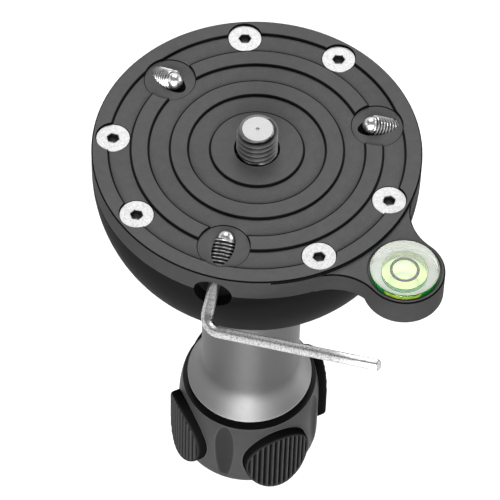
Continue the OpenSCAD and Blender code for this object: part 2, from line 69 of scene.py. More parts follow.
def placeCamera():
    data = bpy.data.cameras.new("studioCamera")
    data.lens = camera["lens"]
    data.sensor_width = camera["sensor"]
    data.clip_start, data.clip_end = camera["reach"]
    body = bpy.data.objects.new("studioCamera", data)
    scene.collection.objects.link(body)
    lean = math.radians(camera["elevation"])
    roll = math.radians(camera["roll"])
    ahead = Vector((0, math.cos(lean), -math.sin(lean)))
    up = Vector((0, math.sin(lean), math.cos(lean)))
    right = Vector((1, 0, 0))
    axisX = math.cos(roll) * right + math.sin(roll) * up
    axisY = math.cos(roll) * up - math.sin(roll) * right
    stand = Matrix((axisX, axisY, -ahead)).transposed().to_4x4()
    stand.translation = Vector(camera["place"])
    body.matrix_world = Matrix.Rotation(math.radians(camera["turn"]), 4, "Z") @ stand
    scene.camera = body


# lamps stand round the aim point, with bearings from the camera and areas in metres
lampAim = (0, 0, -0.04)
lamps = {
    "backSoftbox": {
        "bearing": 180, "elevation": 53.6, "distance": 1.0, "size": (0.55, 0.5), "power": 5.8},
    "frontSoftbox": {
        "bearing": -2, "elevation": 36, "distance": 1.0, "size": (1.2, 0.25), "power": 7.5},
    "frontLow": {
        "bearing": -5, "elevation": 8, "distance": 0.9, "size": (0.5, 0.4), "power": 14.0},
    "leftSoftbox": {
        "bearing": -85, "elevation": 25, "distance": 1.0, "size": (0.3, 0.4), "power": 0.5},
    "rightStrip": {
        "bearing": 106, "elevation": 14, "distance": 0.9, "size": (0.06, 0.5), "power": 3.2},
}


def placeLamps():
    for name, lamp in lamps.items():
        turn = math.radians(camera["turn"] + lamp["bearing"])
        lift = math.radians(lamp["elevation"])
        away = Matrix.Rotation(turn, 3, "Z") @ Vector((0, -math.cos(lift), math.sin(lift)))
        data = bpy.data.lights.new(name, "AREA")
        data.shape = "RECTANGLE"
        data.size, data.size_y = lamp["size"]
        data.energy = lamp["power"]
        body = bpy.data.objects.new(name, data)
        scene.collection.objects.link(body)
        body.location = Vector(lampAim) + away * lamp["distance"]
        body.rotation_mode = "QUATERNION"
        body.rotation_quaternion = away.to_track_quat("Z", "Y")
        body.visible_camera = False


# node helpers: inputs take sockets or plain values
def setSocket(tree, socket, value):
    if isinstance(value, bpy.types.NodeSocket):
        tree.links.new(value, socket)
    else:
        socket.default_value = value


def addNode(tree, kind, inputs=(), **settings):
    made = tree.nodes.new(kind)
    for key, value in settings.items():
        setattr(made, key, value)
    for key, value in dict(inputs).items():
        setSocket(tree, made.inputs[key], value)
    return made


def calc(tree, operation, *values):
    return addNode(tree, "ShaderNodeMath", enumerate(values), operation=operation).outputs[0]


def fade(tree, value, low, high, toLow=0.0, toHigh=1.0):
    return addNode(tree, "ShaderNodeMapRange", {
        "Value": value, "From Min": low, "From Max": high, "To Min": toLow, "To Max": toHigh,
    }, interpolation_type="SMOOTHSTEP").outputs[0]


def mixColour(tree, share, first, second):
    made = addNode(tree, "ShaderNodeMix", {0: share, 6: first, 7: second}, data_type="RGBA")
    return made.outputs[2]


# a screen grey from 0 to 255 as a linear colour
def fromGrey(grey):
    share = grey / 255
    linear = share / 12.92 if share < 0.04045 else ((share + 0.055) / 1.055) ** 2.4
    return (linear, linear, linear, 1)


def objectPlace(tree):
    return addNode(tree, "ShaderNodeTexCoord").outputs["Object"]


def splitAxes(tree, vector):
    return addNode(tree, "ShaderNodeSeparateXYZ", {0: vector}).outputs


# how far a face's own normal leans from level: 0 for a wall, 1 for a flat top
def faceLean(tree):
    normal = addNode(tree, "ShaderNodeNewGeometry").outputs["True Normal"]
    return calc(tree, "ABSOLUTE", splitAxes(tree, normal)["Z"])


# distance from an upright axis
def axisReach(tree, parts, centre=(0, 0, 0)):
    flat = addNode(tree, "ShaderNodeCombineXYZ", {0: parts["X"], 1: parts["Y"]}).outputs[0]
    return addNode(tree, "ShaderNodeVectorMath", {0: flat, 1: centre}, operation="DISTANCE").outputs["Value"]


def startGroup(name, inputs, outputs):
    group = bpy.data.node_groups.new(name, "ShaderNodeTree")
    for label, value in inputs.items():
        kind = "NodeSocketVector" if isinstance(value, tuple) else "NodeSocketFloat"
        group.interface.new_socket(label, in_out="INPUT", socket_type=kind).default_value = value
    for label in outputs:
        group.interface.new_socket(label, in_out="OUTPUT", socket_type="NodeSocketFloat")
    return group, group.nodes.new("NodeGroupInput").outputs, group.nodes.new("NodeGroupOutput").inputs


# settings inside the shared groups; the edge's match is the cosine from its normal to the true one
groupLook = {"fineShare": 0.6, "broadShare": 0.4, "edgeSamples": 6, "edgeMatch": (0.995, 0.9)}


# blasted grain: fine pits with a broad slow mottling
def grainGroup():
    group, given, result = startGroup(
        "blastedGrain", {"Scale": 3000.0, "Mottle Scale": 250.0}, ["Shade", "Height"])
    place = objectPlace(group)
    fine = addNode(group, "ShaderNodeTexNoise", {
        "Vector": place, "Scale": given["Scale"], "Detail": 2.0}).outputs["Fac"]
    broad = addNode(group, "ShaderNodeTexNoise", {
        "Vector": place, "Scale": given["Mottle Scale"], "Detail": 3.0, "Roughness": 0.6}).outputs["Fac"]
    mixed = calc(group, "ADD", calc(group, "MULTIPLY", fine, groupLook["fineShare"]),
                 calc(group, "MULTIPLY", broad, groupLook["broadShare"]))
    group.links.new(calc(group, "SUBTRACT", calc(group, "MULTIPLY", mixed, 2.0), 1.0), result["Shade"])
    group.links.new(fine, result["Height"])
    return group


# edges: 1 within the radius of an edge, from the bevelled normal
def edgeGroup():
    group, given, result = startGroup("nearEdge", {"Radius": 0.0002}, ["Mask"])
    soft = addNode(group, "ShaderNodeBevel", {"Radius": given["Radius"]},
                   samples=groupLook["edgeSamples"]).outputs[0]
    true = addNode(group, "ShaderNodeNewGeometry").outputs["Normal"]
    match = addNode(group, "ShaderNodeVectorMath", {0: soft, 1: true}, operation="DOT_PRODUCT")
    group.links.new(fade(group, match.outputs["Value"], *groupLook["edgeMatch"]), result["Mask"])
    return group


# turned marks: fine circles round the frame's upright axis
def turnedGroup():
    group, given, result = startGroup("turnedMarks", {"Pitch": 0.0003}, ["Circles"])
    parts = splitAxes(group, objectPlace(group))
    reach = calc(group, "SQRT", calc(group, "ADD", calc(group, "POWER", parts["X"], 2.0),
                                     calc(group, "POWER", parts["Y"], 2.0)))
    steps = calc(group, "DIVIDE", reach, given["Pitch"])
    wave = addNode(group, "ShaderNodeTexNoise", {"W": steps, "Scale": 1.0, "Detail": 2.0},
                   noise_dimensions="1D")
    group.links.new(wave.outputs["Fac"], result["Circles"])
    return group


grain, nearEdge, turned = grainGroup(), edgeGroup(), turnedGroup()


def placeGroup(tree, group, **inputs):
    made = tree.nodes.new("ShaderNodeGroup")
    made.node_tree = group
    for key, value in inputs.items():
        made.inputs[key.replace("_", " ")].default_value = value
    return made.outputs


def startMaterial(name, **sockets):
    made = bpy.data.materials.new(name)
    made.use_nodes = True
    tree = made.node_tree
    shader = tree.nodes["Principled BSDF"]
    for key, value in sockets.items():
        shader.inputs[key.replace("_", " ")].default_value = value
    return made, tree, shader


def setInput(tree, shader, label, value):
    tree.links.new(value, shader.inputs[label])


def linkedTo(shader, label):
    return shader.inputs[label].links[0].from_socket


# shares between 0 and 1: their product, and the largest of them
def both(tree, made, *shares):
    for share in shares:
        made = calc(tree, "MULTIPLY", made, share)
    return made


def either(tree, made, *shares):
    for share in shares:
        made = calc(tree, "MAXIMUM", made, share)
    return made


def over(tree, value, limit):
    return calc(tree, "GREATER_THAN", value, limit)


def under(tree, value, limit):
    return calc(tree, "LESS_THAN", value, limit)


# lays a second colour over the shader's own where the share is high
def overlay(tree, shader, share, colour):
    setInput(tree, shader, "Base Color", mixColour(tree, share, linkedTo(shader, "Base Color"), colour))


# one look per material slot; a plain number is a screen grey, lengths are in metres
looks = {
    "plate_black": {
        "name": "plateBlack", "colour": 85, "rubbedAndLitEdge": 45, "rough": 0.42,
        "grain": 4200, "mottle": 420, "shade": 0.1, "bump": 0.25, "edge": 0.00018, "wearAndHighlight": 0,
        "sockets": {"Specular_IOR_Level": 0.05}},
    "knob_plastic": {
        "name": "knobPlastic", "colour": 53, "rubbedAndLitEdge": 98, "rough": 0.42,
        "grain": 3800, "mottle": 350, "shade": 0.08, "bump": 0.3, "edge": 0.0003, "wearAndHighlight": 0.45,
        "sockets": {"Specular_IOR_Level": 0.06}},
    "column_alu": {
        "name": "columnSatin", "colour": 90, "rubbedAndLitEdge": 235, "rough": 0.46,
        "grain": 5200, "mottle": 600, "shade": 0.06, "bump": 0.35, "edge": 0.0002, "wearAndHighlight": 0.8,
        "sockets": {"Metallic": 0.9, "Anisotropic": 0.64, "Anisotropic_Rotation": 0.25,
                    "Specular_IOR_Level": 0.1}},
    "ball_black": {
        "name": "ballBlack", "colour": 15, "rubbedAndLitEdge": 54, "rough": 0.5,
        "grain": 3600, "mottle": 300, "shade": 0.08, "bump": 0.15, "edge": 0.0003, "wearAndHighlight": 0.3,
        "sockets": {"Specular_IOR_Level": 0.01}},
    "grip_rubber": {
        "name": "gripRubber", "colour": 62, "rubbedAndLitEdge": 100, "rough": 0.75, "groove": 0,
        "grain": 5200, "mottle": 500, "shade": 0.1, "bump": 0.35, "edge": 0.0002, "wearAndHighlight": 0.15,
        "sockets": {"Specular_IOR_Level": 0.0}},
    "cup_plastic": {
        "name": "cupPlastic", "colour": 38, "rubbedAndLitEdge": 60, "rough": 0.5,
        "grain": 3200, "mottle": 300, "shade": 0.08, "bump": 0.3, "edge": 0.0003, "wearAndHighlight": 0.3},
    "cap_plastic": {
        "name": "capPlastic", "colour": 34, "rubbedAndLitEdge": 60, "rough": 0.55,
        "grain": 3200, "mottle": 300, "shade": 0.08, "bump": 0.35, "edge": 0.0003, "wearAndHighlight": 0.3},
    "bronze": {
        "name": "washerBronze", "rough": 0.38,
        "colour": (0.52, 0.33, 0.13, 1), "rubbedAndLitEdge": (0.75, 0.55, 0.3, 1),
        "grain": 2600, "mottle": 260, "shade": 0.14, "bump": 0.25, "edge": 0.0002, "wearAndHighlight": 0.6,
        "sockets": {"Metallic": 1.0}},
    "bush_brass": {
        "name": "bushBrass", "rough": 0.3,
        "colour": (0.58, 0.40, 0.14, 1), "rubbedAndLitEdge": (0.8, 0.62, 0.3, 1),
        "grain": 2600, "mottle": 260, "shade": 0.1, "bump": 0.2, "edge": 0.0002, "wearAndHighlight": 0.6,
        "sockets": {"Metallic": 1.0}},
    "nut_steel": {
        "name": "nutZinc", "colour": 150, "rubbedAndLitEdge": 210, "rough": 0.35,
        "grain": 2400, "mottle": 240, "shade": 0.12, "bump": 0.3, "edge": 0.0002, "wearAndHighlight": 0.6,
        "sockets": {"Metallic": 1.0}},
    "rod_steel": {
        "name": "rodZinc", "colour": 160, "rubbedAndLitEdge": 215, "rough": 0.32, "groove": 60,
        "grain": 2400, "mottle": 240, "shade": 0.12, "bump": 0.25, "edge": 0.00012, "wearAndHighlight": 0.4,
        "sockets": {"Metallic": 1.0}},
    "screw_steel": {
        "name": "screwNickel", "colour": 158, "rubbedAndLitEdge": 225, "rough": 0.48, "groove": 40,
        "grain": 2400, "mottle": 700, "shade": 0.22, "bump": 0.3, "edge": 0.0001, "wearAndHighlight": 0.3,
        "sockets": {"Metallic": 1.0}},
    "set_screw_steel": {
        "name": "setScrewSteel", "colour": 225, "rubbedAndLitEdge": 245, "rough": 0.3, "groove": 60,
        "grain": 2800, "mottle": 500, "shade": 0.14, "bump": 0.15, "edge": 0.00008, "wearAndHighlight": 0.5,
        "sockets": {"Metallic": 1.0}},
    "stud_steel": {
        "name": "studSteel", "colour": 134, "rubbedAndLitEdge": 185, "rough": 0.44, "groove": 4,
        "grain": 2600, "mottle": 420, "shade": 0.1, "bump": 0.15, "edge": 0.00012, "wearAndHighlight": 0.3,
        "sockets": {"Metallic": 1.0}},
    "level_rim": {
        "name": "levelRim", "colour": 4, "rubbedAndLitEdge": 8, "rough": 0.5,
        "grain": 3800, "mottle": 400, "shade": 0.1, "bump": 0.2, "edge": 0.0001, "wearAndHighlight": 0.2},
    "level_black": {
        "name": "levelRing", "colour": 2, "rubbedAndLitEdge": 4, "rough": 0.6,
        "grain": 3800, "mottle": 400, "shade": 0.1, "bump": 0.1, "edge": 0.0001, "wearAndHighlight": 0,
        "sockets": {"Specular_IOR_Level": 0.0}},
    # the level's backing glows: painted light standing in for light passing through the liquid
    "level_pale": {
        "name": "levelBacking", "rough": 0.5,
        "colour": (0.88, 0.90, 0.84, 1), "rubbedAndLitEdge": (0.9, 0.93, 0.8, 1),
        "grain": 2400, "mottle": 300, "shade": 0.03, "bump": 0.1, "edge": 0.0001, "wearAndHighlight": 0,
        "sockets": {"Emission_Color": (0.92, 0.95, 0.86, 1), "Emission_Strength": 0.25}},
}
# the grain runs from dark to light, and from smooth to rough, within these spans of its shade
toneSpan = (-0.35, 0.35)
roughSpan = (-0.4, 0.4)
roughSpread = 0.04
bumpDepth = 0.03 * mm


# a finish with grain in its colour, roughness and surface, edges lightened as wear and painted highlight, and
# painted shade in the grooves
def grainedFinish(slotName):
    look = looks[slotName]
    colour, rubbedAndLitEdge = (fromGrey(look[key]) if isinstance(look[key], int) else look[key]
                      for key in ("colour", "rubbedAndLitEdge"))
    made, tree, shader = startMaterial(look["name"], Roughness=look["rough"], **look.get("sockets", {}))
    speck = placeGroup(tree, grain, Scale=look["grain"], Mottle_Scale=look["mottle"])
    edge = placeGroup(tree, nearEdge, Radius=look["edge"])["Mask"]
    dark, light = (tuple(min(1, c * (1 + change)) for c in colour[:3]) + (1,)
                   for change in (-look["shade"], look["shade"]))
    tone = mixColour(tree, fade(tree, speck["Shade"], *toneSpan), dark, light)
    # edges lightened toward the rubbed tone: partly wear, partly a painted highlight
    tone = mixColour(tree, both(tree, edge, look["wearAndHighlight"]), tone, rubbedAndLitEdge)
    # painted shade: grooves, sockets and pad borders darken toward the groove tone
    if "groove" in look:
        deep = addNode(tree, "ShaderNodeAttribute", attribute_name="grooveShade").outputs["Fac"]
        tone = mixColour(tree, deep, tone, fromGrey(look["groove"]))
    setInput(tree, shader, "Base Color", tone)
    setInput(tree, shader, "Roughness", fade(
        tree, speck["Shade"], *roughSpan, look["rough"] - roughSpread, look["rough"] + roughSpread))
    bump = addNode(tree, "ShaderNodeBump", {
        "Height": speck["Height"], "Strength": look["bump"], "Distance": bumpDepth})
    setInput(tree, shader, "Normal", bump.outputs[0])
    finishes[slotName] = made
    return tree, shader


# painted shade: black over walls and chamfers, and painted shadow lines along the channels and spot faces, in
# mm
plateShade = {
    "colour": 6,
    "chamferLean": (0.1, 0.95),
    "wallLean": 0.5,
    "wall": 0.7,
    "under": 0.3,
    "rim": 0.2,
    "stepFrom": 29.0,
    "stepDepth": 1.02,
    "earFrom": 38.5,
    "earEdge": 0.4,
    "lineWidths": (0.34, 0.2),
    "rimWidths": (0.16, 0.04),
    "line": 0.9,
    "rough": 0.9,
}


# black anodised plate: channel walls and chamfers stay black, as in the photograph
def plateFinish():
    tree, shader = grainedFinish("plate_black")
    look = plateShade
    parts = splitAxes(tree, objectPlace(tree))
    lean = faceLean(tree)
    reach = axisReach(tree, parts)
    wall = under(tree, lean, look["wallLean"])
    chamfer = both(tree, over(tree, lean, look["chamferLean"][0]), under(tree, lean, look["chamferLean"][1]))
    shallow = over(tree, parts["Z"], -(part["channelDepth"] + look["under"]) * mm)
    inside = under(tree, reach, (part["ballRadius"] - look["rim"]) * mm)
    step = both(tree, over(tree, parts["X"], look["stepFrom"] * mm),
                over(tree, parts["Z"], -look["stepDepth"] * mm))
    inner = either(tree, both(tree, shallow, inside), step)
    earEdge = both(tree, placeGroup(tree, nearEdge, Radius=look["earEdge"] * mm)["Mask"],
                   over(tree, parts["X"], look["earFrom"] * mm))

    # a painted shadow line along a circle
    def shadowLine(distance, radius, widths):
        off = calc(tree, "ABSOLUTE", calc(tree, "SUBTRACT", distance, radius * mm))
        return fade(tree, off, widths[0] * mm, widths[1] * mm)

    clear, rims = [], []
    for bearing in part["spotBearings"]:
        turn = math.radians(bearing)
        away = axisReach(tree, parts, Vector((math.cos(turn), math.sin(turn), 0)) * part["spotReach"] * mm)
        rims.append(shadowLine(away, part["spotRadius"], look["rimWidths"]))
        clear.append(over(tree, away, part["spotRadius"] * mm))
    lines = either(tree, *[shadowLine(reach, radius, look["lineWidths"]) for radius in part["ringRadii"]])
    lines = either(tree, both(tree, lines, *clear), *rims)
    # painted shade: walls, chamfers, the ear's step and edge are painted near black, with painted shadow
    # lines along the channels and spot faces
    paintedShade = either(tree, chamfer, both(tree, wall, inner), both(tree, wall, look["wall"]), earEdge,
                 both(tree, lines, shallow, look["line"]))
    overlay(tree, shader, paintedShade, fromGrey(look["colour"]))
    rough = either(tree, linkedTo(shader, "Roughness"), both(tree, paintedShade, look["rough"]))
    setInput(tree, shader, "Roughness", rough)


# heights and depths in mm; the shoulder falls by the square of the lift over its curve
knobShade = {
    "colour": 5,
    "wallTop": -99.7,
    "scoopLow": -112.0,
    "shoulderCurve": 72.0,
    "depths": (0.06, 0.3),
    "scoop": 0.62,
    "flatLean": 0.9,
    "flat": 0.9,
}


# moulded knob: painted shade makes the scoops and the flat ring under the column darker than the wall
def knobFinish():
    tree, shader = grainedFinish("knob_plastic")
    look = knobShade
    parts = splitAxes(tree, objectPlace(tree))
    lift = either(tree, calc(tree, "SUBTRACT", parts["Z"], look["wallTop"] * mm), 0.0)
    fall = calc(tree, "DIVIDE", both(tree, lift, lift), look["shoulderCurve"] * mm)
    wallRadius = calc(tree, "SUBTRACT", part["knobRadius"] * mm, fall)
    depth = calc(tree, "SUBTRACT", wallRadius, axisReach(tree, parts))
    scooped = both(tree, fade(tree, depth, look["depths"][0] * mm, look["depths"][1] * mm),
                   over(tree, parts["Z"], look["scoopLow"] * mm))
    flat = over(tree, faceLean(tree), look["flatLean"])
    # painted shade on the scoops and the flat ring
    dark = either(tree, both(tree, scooped, look["scoop"]), both(tree, flat, look["flat"]))
    overlay(tree, shader, dark, fromGrey(look["colour"]))


columnFootHighlight = {"colour": 150, "top": -81.5, "low": -87.0, "rough": 0.19, "tone": 0.55}


# turned column: satin along its length, more matt on the flared foot, where a painted highlight makes it
# paler
def columnFinish():
    tree, shader = grainedFinish("column_alu")
    look = columnFootHighlight
    parts = splitAxes(tree, objectPlace(tree))
    # painted highlight on the flared foot
    foot = fade(tree, parts["Z"], look["top"] * mm, look["low"] * mm)
    overlay(tree, shader, both(tree, foot, look["tone"]), fromGrey(look["colour"]))
    rough = calc(tree, "ADD", linkedTo(shader, "Roughness"), both(tree, foot, look["rough"]))
    setInput(tree, shader, "Roughness", rough)


studDarkReflection = {"circles": 0.22, "circleBump": 0.35, "crest": 8, "crestLean": (0.75, 0.35), "crestShare": 0.85}


# turned steel stud: faint circles on its face; upright faces are painted dark as a painted reflection,
# leaving dark upright crests between the lit flanks
def studFinish():
    tree, shader = grainedFinish("stud_steel")
    look = studDarkReflection
    marks = placeGroup(tree, turned, Pitch=look["circles"] * mm)["Circles"]
    circle = addNode(tree, "ShaderNodeBump", {
        "Height": marks, "Strength": look["circleBump"], "Distance": bumpDepth,
        "Normal": linkedTo(shader, "Normal")})
    setInput(tree, shader, "Normal", circle.outputs[0])
    # painted reflection: upright faces darkened
    upright = fade(tree, faceLean(tree), *look["crestLean"])
    overlay(tree, shader, both(tree, upright, look["crestShare"]), fromGrey(look["crest"]))


keyTone = {
    "pits": 2500,
    "pitDetail": 3.0,
    "pitRoughness": 0.6,
    "pitSpan": (0.35, 0.58),
    "dark": 135,
    "light": 196,
    "edge": 0.24,
    "edgeReflectionTone": 25,
    "edgeShare": 0.85,
    "grain": 3000,
    "mottle": 500,
    "grainShare": 0.4,
    "metal": {"Metallic": 1.0, "Roughness": 0.25},
    "roughSpan": (0.3, 0.7),
    "rough": (0.42, 0.3),
    "bump": 0.35,
    "bumpDepth": 0.02,
}


# nickel-plated key: finely pitted, with a painted dark reflection along its edges
def keyFinish():
    look = keyTone
    made, tree, shader = startMaterial("keyNickel", **look["metal"])
    pits = addNode(tree, "ShaderNodeTexNoise", {
        "Vector": objectPlace(tree), "Scale": look["pits"], "Detail": look["pitDetail"],
        "Roughness": look["pitRoughness"]}).outputs["Fac"]
    speck = placeGroup(tree, grain, Scale=look["grain"], Mottle_Scale=look["mottle"])
    setInput(tree, shader, "Base Color", mixColour(
        tree, fade(tree, pits, *look["pitSpan"]), fromGrey(look["dark"]), fromGrey(look["light"])))
    # painted dark reflection along the key's edges
    edge = placeGroup(tree, nearEdge, Radius=look["edge"] * mm)["Mask"]
    overlay(tree, shader, both(tree, edge, look["edgeShare"]), fromGrey(look["edgeReflectionTone"]))
    setInput(tree, shader, "Roughness", fade(tree, pits, *look["roughSpan"], *look["rough"]))
    bump = addNode(tree, "ShaderNodeBump", {
        "Height": calc(tree, "ADD", pits, both(tree, speck["Height"], look["grainShare"])),
        "Strength": look["bump"], "Distance": look["bumpDepth"] * mm})
    setInput(tree, shader, "Normal", bump.outputs[0])
    finishes["key_steel"] = made


# the grain mixes each pair of tones; the liquid's walls carry painted light and shade: the near wall painted
# bright yellow-green, the far wall, seen from inside, painted dark green
levelLook = {
    "clear": {
        "name": "levelClear", "grain": 900, "mottle": 120,
        "tones": ((0.93, 0.96, 0.94, 1), (0.99, 1.0, 0.99, 1)),
        "sockets": {"IOR": 1.49, "Roughness": 0.03, "Specular_IOR_Level": 0.2}},
    "liquid": {
        "name": "levelLiquid", "grain": 700, "mottle": 90,
        "tones": ((0.80, 0.93, 0.40, 1), (0.85, 0.95, 0.48, 1)),
        "sockets": {"IOR": 1.01, "Roughness": 0.02}},
    "litNearWall": (0.62, 0.84, 0.03, 1),
    "shadedFarWall": (0.0, 0.2, 0.1, 1),
    "wallLean": (0.95, 0.3),
}


def clearFinish(slotName, look):
    made, tree, shader = startMaterial(look["name"], Transmission_Weight=1.0, Metallic=0.0, **look["sockets"])
    speck = placeGroup(tree, grain, Scale=look["grain"], Mottle_Scale=look["mottle"])
    setInput(tree, shader, "Base Color", mixColour(
        tree, fade(tree, speck["Shade"], *roughSpan), *look["tones"]))
    finishes[slotName] = made
    return tree, shader


# clear moulding and yellow-green liquid of the level
def levelFinishes():
    clearFinish("level_clear", levelLook["clear"])
    tree, shader = clearFinish("level_green", levelLook["liquid"])
    # painted light and shade on the liquid's walls: near wall painted bright, far wall painted dark
    far = addNode(tree, "ShaderNodeNewGeometry").outputs["Backfacing"]
    wall = mixColour(tree, far, levelLook["litNearWall"], levelLook["shadedFarWall"])
    overlay(tree, shader, fade(tree, faceLean(tree), *levelLook["wallLean"]), wall)


finishes = {}
plateFinish()
knobFinish()
columnFinish()
studFinish()
keyFinish()
levelFinishes()
for slotName in looks:
    if slotName not in finishes:
        grainedFinish(slotName)
print("finishes made:", len(finishes))

for node in nodes.values():
    wanted = node.material_slots[0].material.name
    node.material_slots[0].material = finishes[wanted]


# points closer than the first are welded, edges shorter than the second are taken out, in metres
weldReach, sliverEdge = 2e-6, 1e-6


# meshes are written in millimetres, in the frame's own place
def addPiece(name, points, faces, body, slotName, stands=(), place=None, sharp=32, shades=None):
    mesh = bpy.data.meshes.new(name)
    mesh.from_pydata([Vector(p) * mm for p in points], [], faces)
    if shades:
        mesh.attributes.new("grooveShade", "FLOAT", "POINT").data.foreach_set("value", shades)
    if place is not None:
        mesh.transform(place)
    shape = bmesh.new()
    shape.from_mesh(mesh)
    bmesh.ops.remove_doubles(shape, verts=shape.verts, dist=weldReach)
    bmesh.ops.dissolve_degenerate(shape, edges=shape.edges, dist=sliverEdge)
    bmesh.ops.recalc_face_normals(shape, faces=shape.faces)
    shape.to_mesh(mesh)
    shape.free()
    mesh.shade_smooth()
    mesh.set_sharp_from_angle(angle=math.radians(sharp))
    made = bpy.data.objects.new(name, mesh)
    scene.collection.objects.link(made)
    mesh.materials.append(finishes[slotName])
    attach(made, body)
    if stands:
        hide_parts(*stands)
    return made


def circlePoints(radius, height, count):
    return [(radius * math.cos(2 * math.pi * i / count), radius * math.sin(2 * math.pi * i / count), height)
            for i in range(count)]


def hexPoints(flats, height, count):
    points = []
    for i in range(count):
        turn = 2 * math.pi * i / count
        off = turn % (math.pi / 3) - math.pi / 6
        radius = flats / 2 / math.cos(off)
        points.append((radius * math.cos(turn), radius * math.sin(turn), height))
    return points


# joins rings of equal count; each named end is closed to its middle point
def joinRings(rings, start=0, ends=(0, -1)):
    count = len(rings[0])
    points = [p for ring in rings for p in ring]
    faces = []
    for r in range(len(rings) - 1):
        for i in range(count):
            j = (i + 1) % count
            faces.append((r * count + i, r * count + j, (r + 1) * count + j, (r + 1) * count + i))
    for end in ends:
        first = end % len(rings) * count
        faces += [(first + i, first + (i + 1) % count, len(points)) for i in range(count)]
        points.append(tuple(sum(p[k] for p in rings[end]) / count for k in range(3)))
    return points, [tuple(i + start for i in face) for face in faces]


# a radius of nothing would fold a ring's points into one
leastRadius = 0.0005


def turnedRings(profile, count):
    return [circlePoints(max(r, leastRadius), z, count) for r, z in profile]


# one turn of a thread in shares of its pitch: crest, flank down, root, flank up
threadForm = {
    "rows": (0, 0.0625, 0.125, 0.28, 0.4375, 0.5625, 0.6875, 0.84),
    "crestEnd": 0.125,
    "rootStart": 0.4375,
    "rootEnd": 0.6875,
    "flank": 0.3125,
    "shadeGain": 1.6,
    "shadeStart": 0.25,
}


# rows follow the helix, and what lies past an end is drawn together in its ring
def threadSkin(thread, count):
    low, high, pitch = thread["low"], thread["high"], thread["pitch"]
    form = threadForm
    rows = len(form["rows"])
    turns = math.ceil((high - low) / pitch) + 2
    points, faces, shades = [], [], []

    def toothRadius(phase):
        if phase <= form["crestEnd"]:
            return thread["crest"]
        if phase < form["rootStart"]:
            return thread["crest"] - thread["depth"] * (phase - form["crestEnd"]) / form["flank"]
        if phase <= form["rootEnd"]:
            return thread["crest"] - thread["depth"]
        return thread["crest"] - thread["depth"] * (1 - phase) / form["flank"]

    for m in range(turns * rows + 1):
        phase = form["rows"][m % rows]
        for i in range(count):
            z = low + (m // rows + phase + i / count - 1) * pitch
            z = min(max(z, low), high)
            limit = min(thread["lowRadius"] + (z - low) * thread["lowSlope"],
                        thread["highRadius"] + (high - z) * thread["highSlope"])
            inside = low < z < high
            radius = min(limit, toothRadius(phase)) if inside else limit
            turn = 2 * math.pi * i / count
            points.append((radius * math.cos(turn), radius * math.sin(turn), z))
            # painted shade, deepening toward the thread's root
            shade = (thread["crest"] - radius) / thread["depth"] * form["shadeGain"] - form["shadeStart"]
            shades.append(min(max(shade, 0.0), 1.0) if inside and radius < limit else 0.0)
    for m in range(turns * rows):
        for i in range(count):
            if i < count - 1:
                faces.append((m * count + i, m * count + i + 1, (m + 1) * count + i + 1, (m + 1) * count + i))
            elif m < (turns - 1) * rows:
                n = m + rows
                faces.append((m * count + i, n * count, (n + 1) * count, (m + 1) * count + i))
    return points, faces, shades


# a thread with rings below and above it, closed at the far ends; socketShades has one per ring above, painted
# shade that darkens the socket
def threadedPiece(thread, below, above, count, socketShades=()):
    points, faces, shades = threadSkin(thread, count)
    for rings, tones in ((below, ()), (above, socketShades)):
        more, moreFaces = joinRings(rings, len(points), ends=(-1,))
        points += more
        faces += moreFaces
        fill = [tone for tone in tones for i in range(count)]
        shades += fill + [tones[-1] if tones else 0.0] * (len(more) - len(fill))
    return points, faces, shades


stud = {
    "columns": 72,
    "thread": {"low": -0.5, "high": 7.2, "pitch": 1.5875, "crest": 4.7625, "depth": 0.857,
               "lowRadius": 4.45, "lowSlope": 2.0, "highRadius": 3.5, "highSlope": 1.732},
    "headFlats": 14.0,
    "headTop": -4.0,
    "headLow": -8.4,
    "headChamfer": 0.3,
    "face": [(3.5, 7.2), (0.45, 7.2), (0.3, 7.12), (0.02, 7.08)],
    "sharp": 22,
}


def makeStud():
    count, thread = stud["columns"], stud["thread"]
    flats, low, top, soft = stud["headFlats"], stud["headLow"], stud["headTop"], stud["headChamfer"]
    below = [
        circlePoints(thread["lowRadius"], thread["low"], count),
        circlePoints(thread["lowRadius"], top, count),
        hexPoints(flats - 2 * soft, top, count),
        hexPoints(flats, top - soft, count),
        hexPoints(flats, low + soft, count),
        hexPoints(flats - 2 * soft, low, count),
    ]
    points, faces, shades = threadedPiece(thread, below, turnedRings(stud["face"], count), count)
    addPiece("headStud", points, faces, "base", "stud_steel", ["head_stud"],
             sharp=stud["sharp"], shades=shades)


setScrew = {
    "columns": 48,
    "length": 10.0,
    "reach": 3.7,
    "pointRadius": 1.95,
    "thread": {"low": 2.0, "high": 10.0, "pitch": 0.8, "crest": 2.45, "depth": 0.432,
               "lowRadius": 1.95, "lowSlope": 1.0, "highRadius": 2.0, "highSlope": 1.0},
    "socketFlats": 2.6,
    "socketDepth": 2.8,
    "mouth": 0.16,
    "mouthDepth": 0.15,
    "drillRadius": 0.5,
    "drillDepth": 0.35,
    "socketShades": (0, 0, 0.3, 0.8, 0.9),
    # 30 degrees off the key and the CAD's sockets, a known fault
    "socketTurn": -8.5,
    "domeStep": 9,
    "domeEnd": 86,
    "inset": 9.3,
    "tilt": 30.5,
    "keyTurn": 21.5,
    "bearings": {"front": -60, "right": 60, "left": 180},
}


def screwPlace(bearing):
    away = Vector((part["ballRadius"] - setScrew["inset"], 0, -part["channelDepth"])) * mm
    return (Matrix.Rotation(math.radians(bearing), 4, "Z") @ Matrix.Translation(away)
            @ Matrix.Rotation(math.radians(90 + setScrew["tilt"]), 4, "Y"))


